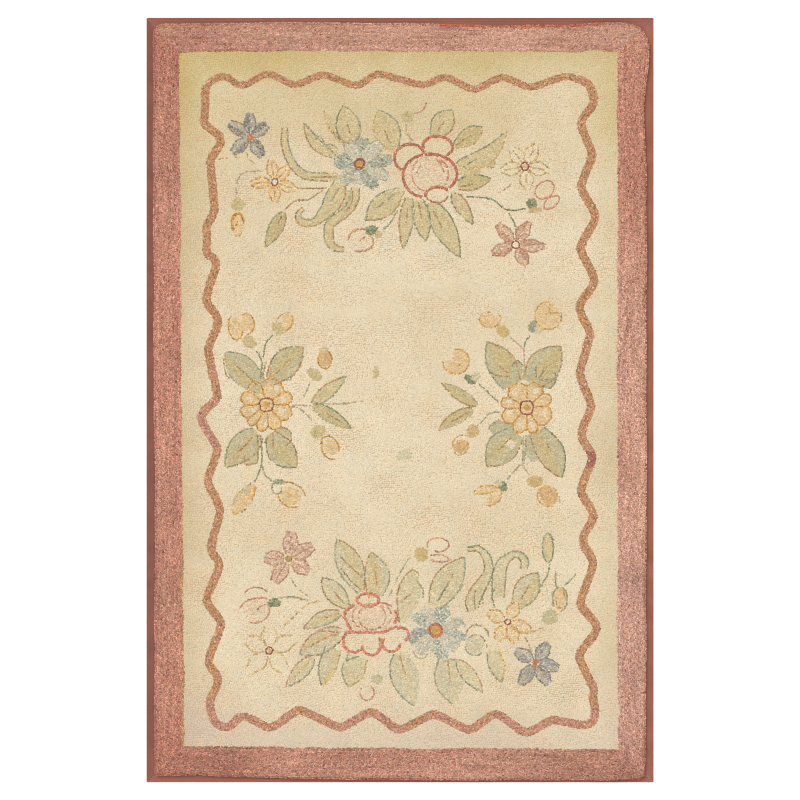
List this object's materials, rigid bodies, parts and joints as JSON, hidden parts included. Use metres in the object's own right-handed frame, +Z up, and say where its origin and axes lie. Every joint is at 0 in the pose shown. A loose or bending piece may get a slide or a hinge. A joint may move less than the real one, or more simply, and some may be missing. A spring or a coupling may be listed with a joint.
{
  "type": "hooked rug",
  "caption": "Rectangular hooked wool rug lying flat, with floral bouquets on a cream field, a rose border and cotton tape along its edges.",
  "frame": {"origin": "under the middle of the rug, on the surface it lies on", "axes": "+X across the rug, +Y along it towards the bouquet with the blue flower to the left of the rose, +Z up out of the pile"},
  "size_m": [1.216, 1.834, 0.0136],
  "materials": {
    "wool_loops": "matt, hooked wool loops, cream with a dusty rose border and flowers in orange, coral, blue, violet and green",
    "edge_tape": "matt, red-brown woven cotton tape",
    "ground_cloth": "matt, undyed woven ground cloth"
  },
  "bodies": {
    "root": {"rug": "wool_loops", "binding_left": "edge_tape", "binding_right": "edge_tape", "binding_top": "edge_tape", "binding_bottom": "edge_tape"}
  },
  "joints": []
}
